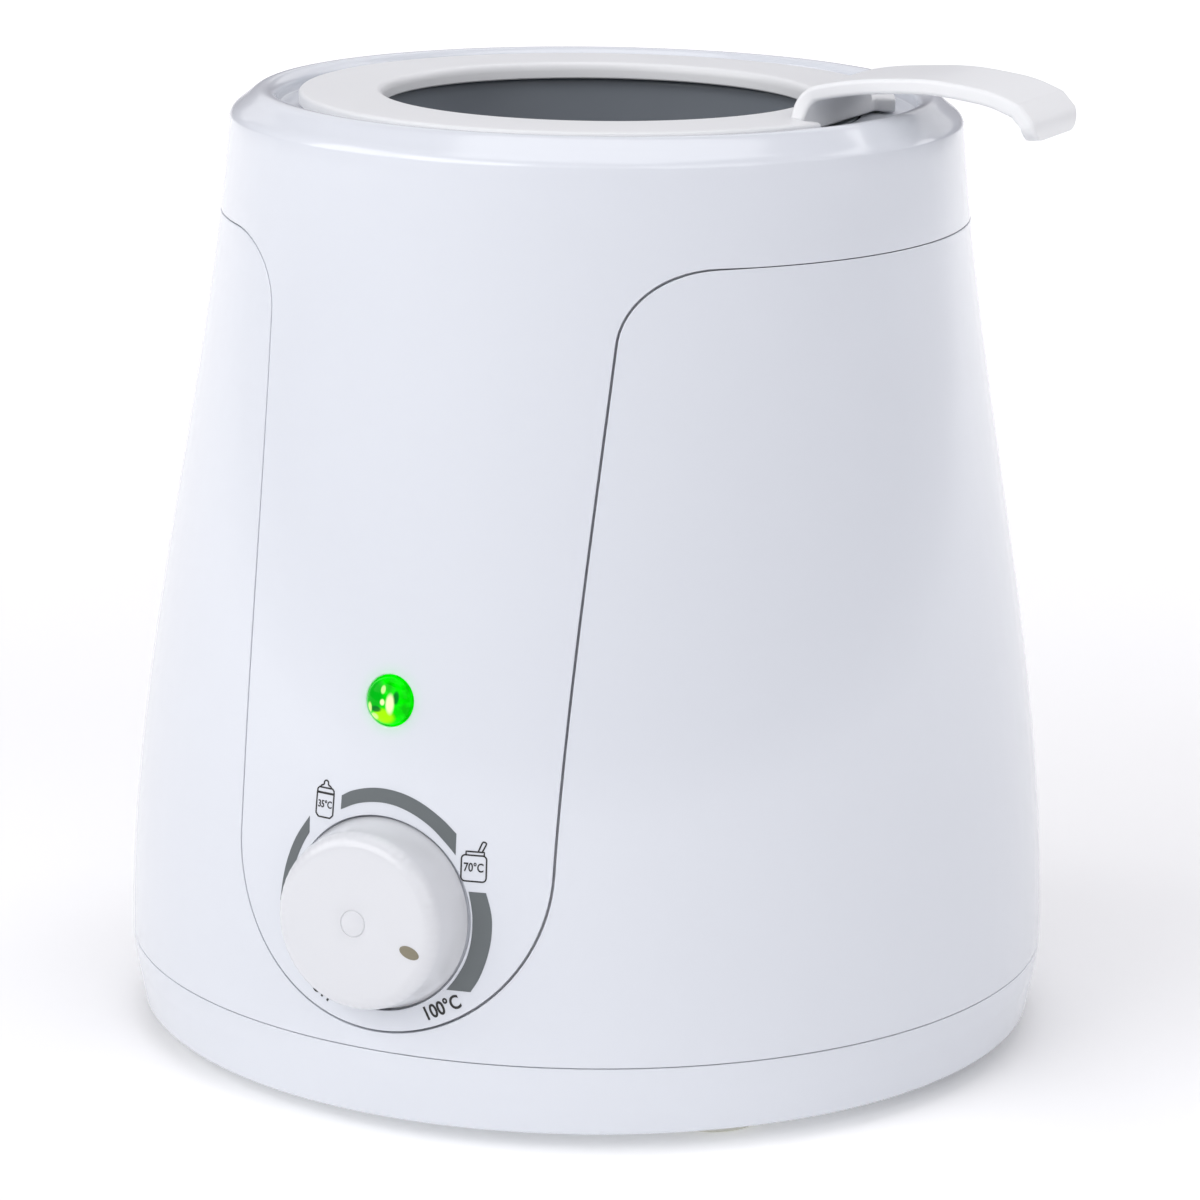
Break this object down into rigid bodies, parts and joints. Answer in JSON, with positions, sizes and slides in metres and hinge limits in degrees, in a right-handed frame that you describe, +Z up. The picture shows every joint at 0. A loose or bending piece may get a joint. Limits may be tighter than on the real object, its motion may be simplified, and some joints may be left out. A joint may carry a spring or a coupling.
{
  "type": "bottle warmer",
  "caption": "Cone-shaped electric bottle and jar warmer with a front temperature knob, a pilot light, a round water well and a lift-out ring with a curved handle.",
  "frame": {"origin": "centre of the overall footprint box on the table: the housing's vertical axis where it meets the plane under the four feet", "axes": "+Z up along the housing's axis, the knob and pilot light face -Y, the ring's handle points along +X, the cord inlet is at +Y"},
  "size_m": [0.1524, 0.1632, 0.1589],
  "materials": {
    "housing_white": "glossy moulded ABS",
    "ring_white": "satin moulded polypropylene",
    "knob_white": "semi-gloss moulded ABS",
    "well_grey": "grey non-stick coating on drawn aluminium",
    "foot_rubber": "translucent soft rubber",
    "seal_silicone": "silicone",
    "steel": "zinc plated",
    "aluminium": "cast",
    "ceramic": "unglazed steatite",
    "lens_green": "translucent green lens, lit",
    "led_epoxy": "clear green epoxy",
    "board": "solder mask",
    "wire": "silicone sleeve",
    "bush_white": "soft PVC",
    "print_grey": "mid-grey pad print",
    "print_dark": "dark grey pad print",
    "pointer_beige": "beige-grey paint in the pointer dimple"
  },
  "bodies": {
    "housing": {"top_housing": "housing_white", "side_shell": "housing_white", "base_cover": "housing_white", "foot_1": "foot_rubber", "foot_2": "foot_rubber", "foot_3": "foot_rubber", "foot_4": "foot_rubber", "base_screw_1": "steel", "base_screw_2": "steel", "base_screw_3": "steel", "cord_bush": "bush_white", "tank": "well_grey", "tank_seal": "seal_silicone", "heater_plate": "aluminium", "ptc_heater": "ceramic", "heater_bracket": "steel", "bracket_screw_1": "steel", "bracket_screw_2": "steel", "thermal_fuse": "ceramic", "thermostat_body": "ceramic", "thermostat_bracket": "steel", "thermostat_screw_1": "steel", "thermostat_screw_2": "steel", "led_lens": "lens_green", "led_body": "led_epoxy", "led_board": "board", "terminal_block": "ceramic", "wire_supply": "wire", "wire_heater": "wire", "wire_fuse": "wire", "wire_led": "wire"},
    "knob": {"knob": "knob_white", "spindle": "steel"},
    "lift": {"lift_ring": "ring_white", "lift_cradle": "ring_white"}
  },
  "joints": [
    {"name": "knob_turn", "type": "hinge", "parent": "housing", "child": "knob", "pos_m": [0, -0.07406, 0.03605], "axis": [0, 0.9969, -0.0785], "range_deg": [-256, 34]},
    {"name": "ring_lift", "type": "slide", "parent": "housing", "child": "lift", "axis": [0, 0, 1], "range_m": [0, 0.11]}
  ]
}
